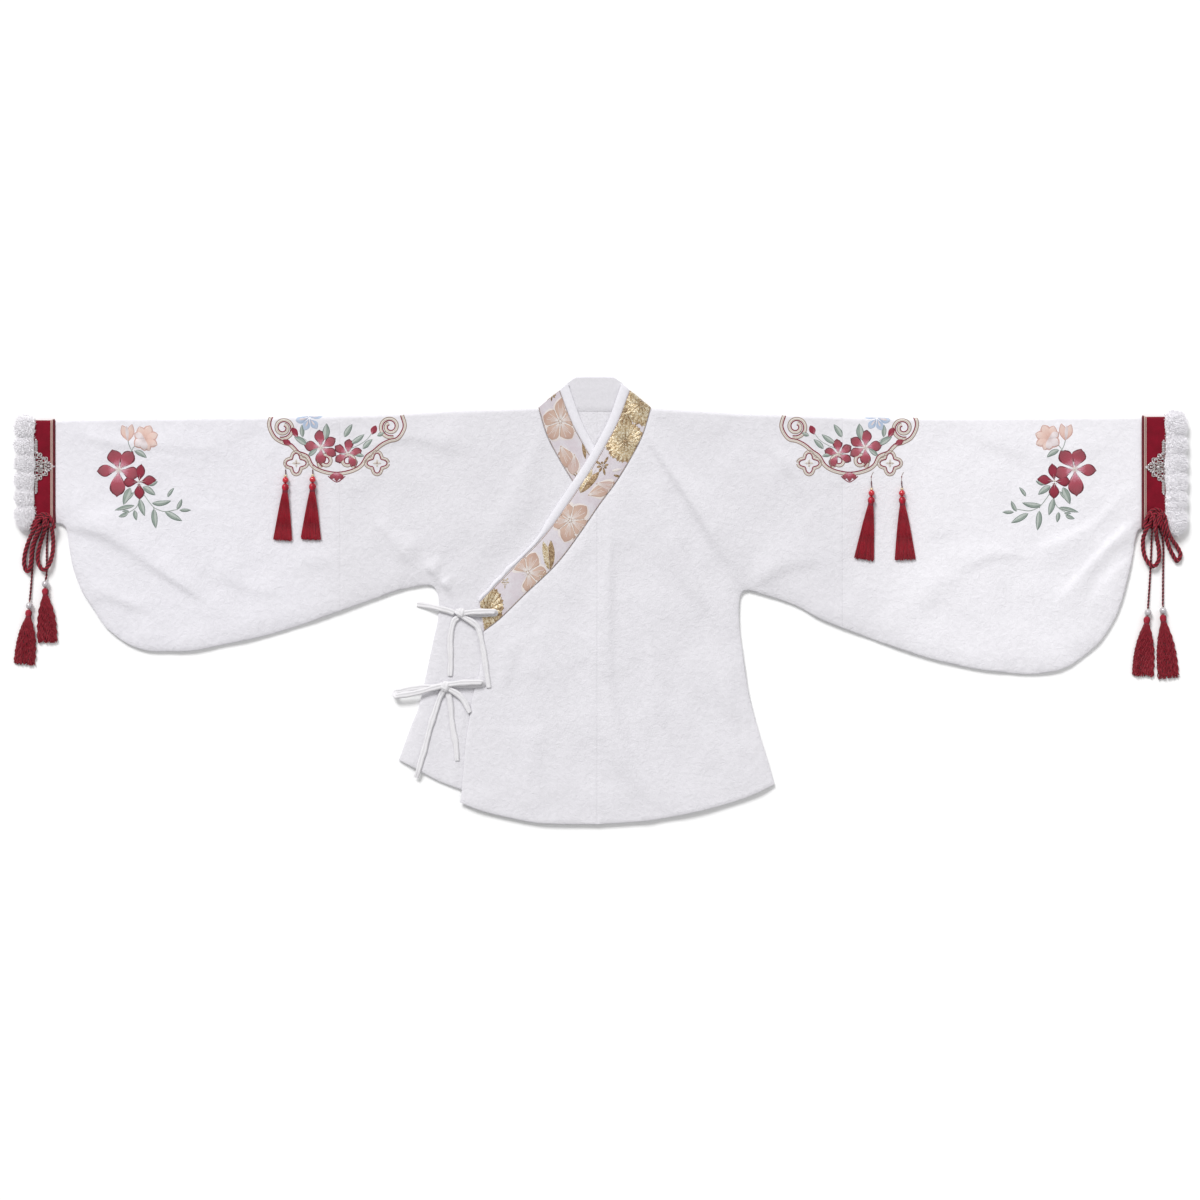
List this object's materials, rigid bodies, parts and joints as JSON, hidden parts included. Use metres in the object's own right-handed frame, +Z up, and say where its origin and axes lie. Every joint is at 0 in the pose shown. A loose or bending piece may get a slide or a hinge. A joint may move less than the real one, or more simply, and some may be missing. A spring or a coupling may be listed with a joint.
{
  "type": "cross-collar hanfu jacket",
  "caption": "Cross-collar hanfu jacket laid flat, with wide pipa sleeves, fur cuffs, brocade collar, ribbon side ties, and corded tassels at the cuffs and upper sleeves.",
  "frame": {"origin": "centre of the jacket's bounding box, on the surface it lies on", "axes": "+X towards the wearer's left sleeve, +Y from hem to neck, +Z up through the front"},
  "size_m": [1.7995, 0.6872, 0.0259],
  "materials": {
    "plush_cloth": "short brushed pile",
    "brocade": "woven satin with gold threads",
    "guard": "short brushed pile",
    "cuff_band": "matt velvet",
    "piping": "satin",
    "fur": "long soft pile",
    "lace": "silver thread",
    "cord": "silky cord",
    "pearl": "pearl",
    "bead": "polished",
    "ribbon": "satin"
  },
  "bodies": {
    "root": {"body_left": "plush_cloth", "body_right": "plush_cloth", "collar_band": "brocade", "collar_facing": "guard", "collar_guard": "guard", "cuff_left_band": "cuff_band", "cuff_left_fur": "fur", "cuff_left_knot": "cord", "cuff_left_lace": "lace", "cuff_left_loop_a": "cord", "cuff_left_loop_b": "cord", "cuff_left_pearl_a": "pearl", "cuff_left_pearl_b": "pearl", "cuff_left_piping": "piping", "cuff_left_tail_a": "cord", "cuff_left_tail_b": "cord", "cuff_left_tassel_a": "cord", "cuff_left_tassel_b": "cord", "cuff_right_band": "cuff_band", "cuff_right_fur": "fur", "cuff_right_knot": "cord", "cuff_right_lace": "lace", "cuff_right_loop_a": "cord", "cuff_right_loop_b": "cord", "cuff_right_pearl_a": "pearl", "cuff_right_pearl_b": "pearl", "cuff_right_piping": "piping", "cuff_right_tail_a": "cord", "cuff_right_tail_b": "cord", "cuff_right_tassel_a": "cord", "cuff_right_tassel_b": "cord", "inner_overlap_panel": "plush_cloth", "overlap_panel": "plush_cloth", "sleeve_left": "plush_cloth", "sleeve_left_bead_a": "bead", "sleeve_left_bead_b": "bead", "sleeve_left_tassel_a": "cord", "sleeve_left_tassel_b": "cord", "sleeve_right": "plush_cloth", "sleeve_right_bead_a": "bead", "sleeve_right_bead_b": "bead", "sleeve_right_tassel_a": "cord", "sleeve_right_tassel_b": "cord", "tie_lower_knot": "ribbon", "tie_lower_loop_a": "ribbon", "tie_lower_loop_b": "ribbon", "tie_lower_tail_a": "ribbon", "tie_lower_tail_b": "ribbon", "tie_lower_tail_c": "ribbon", "tie_upper_knot": "ribbon", "tie_upper_loop": "ribbon", "tie_upper_stub": "ribbon", "tie_upper_tail_a": "ribbon", "tie_upper_tail_b": "ribbon"}
  },
  "joints": []
}
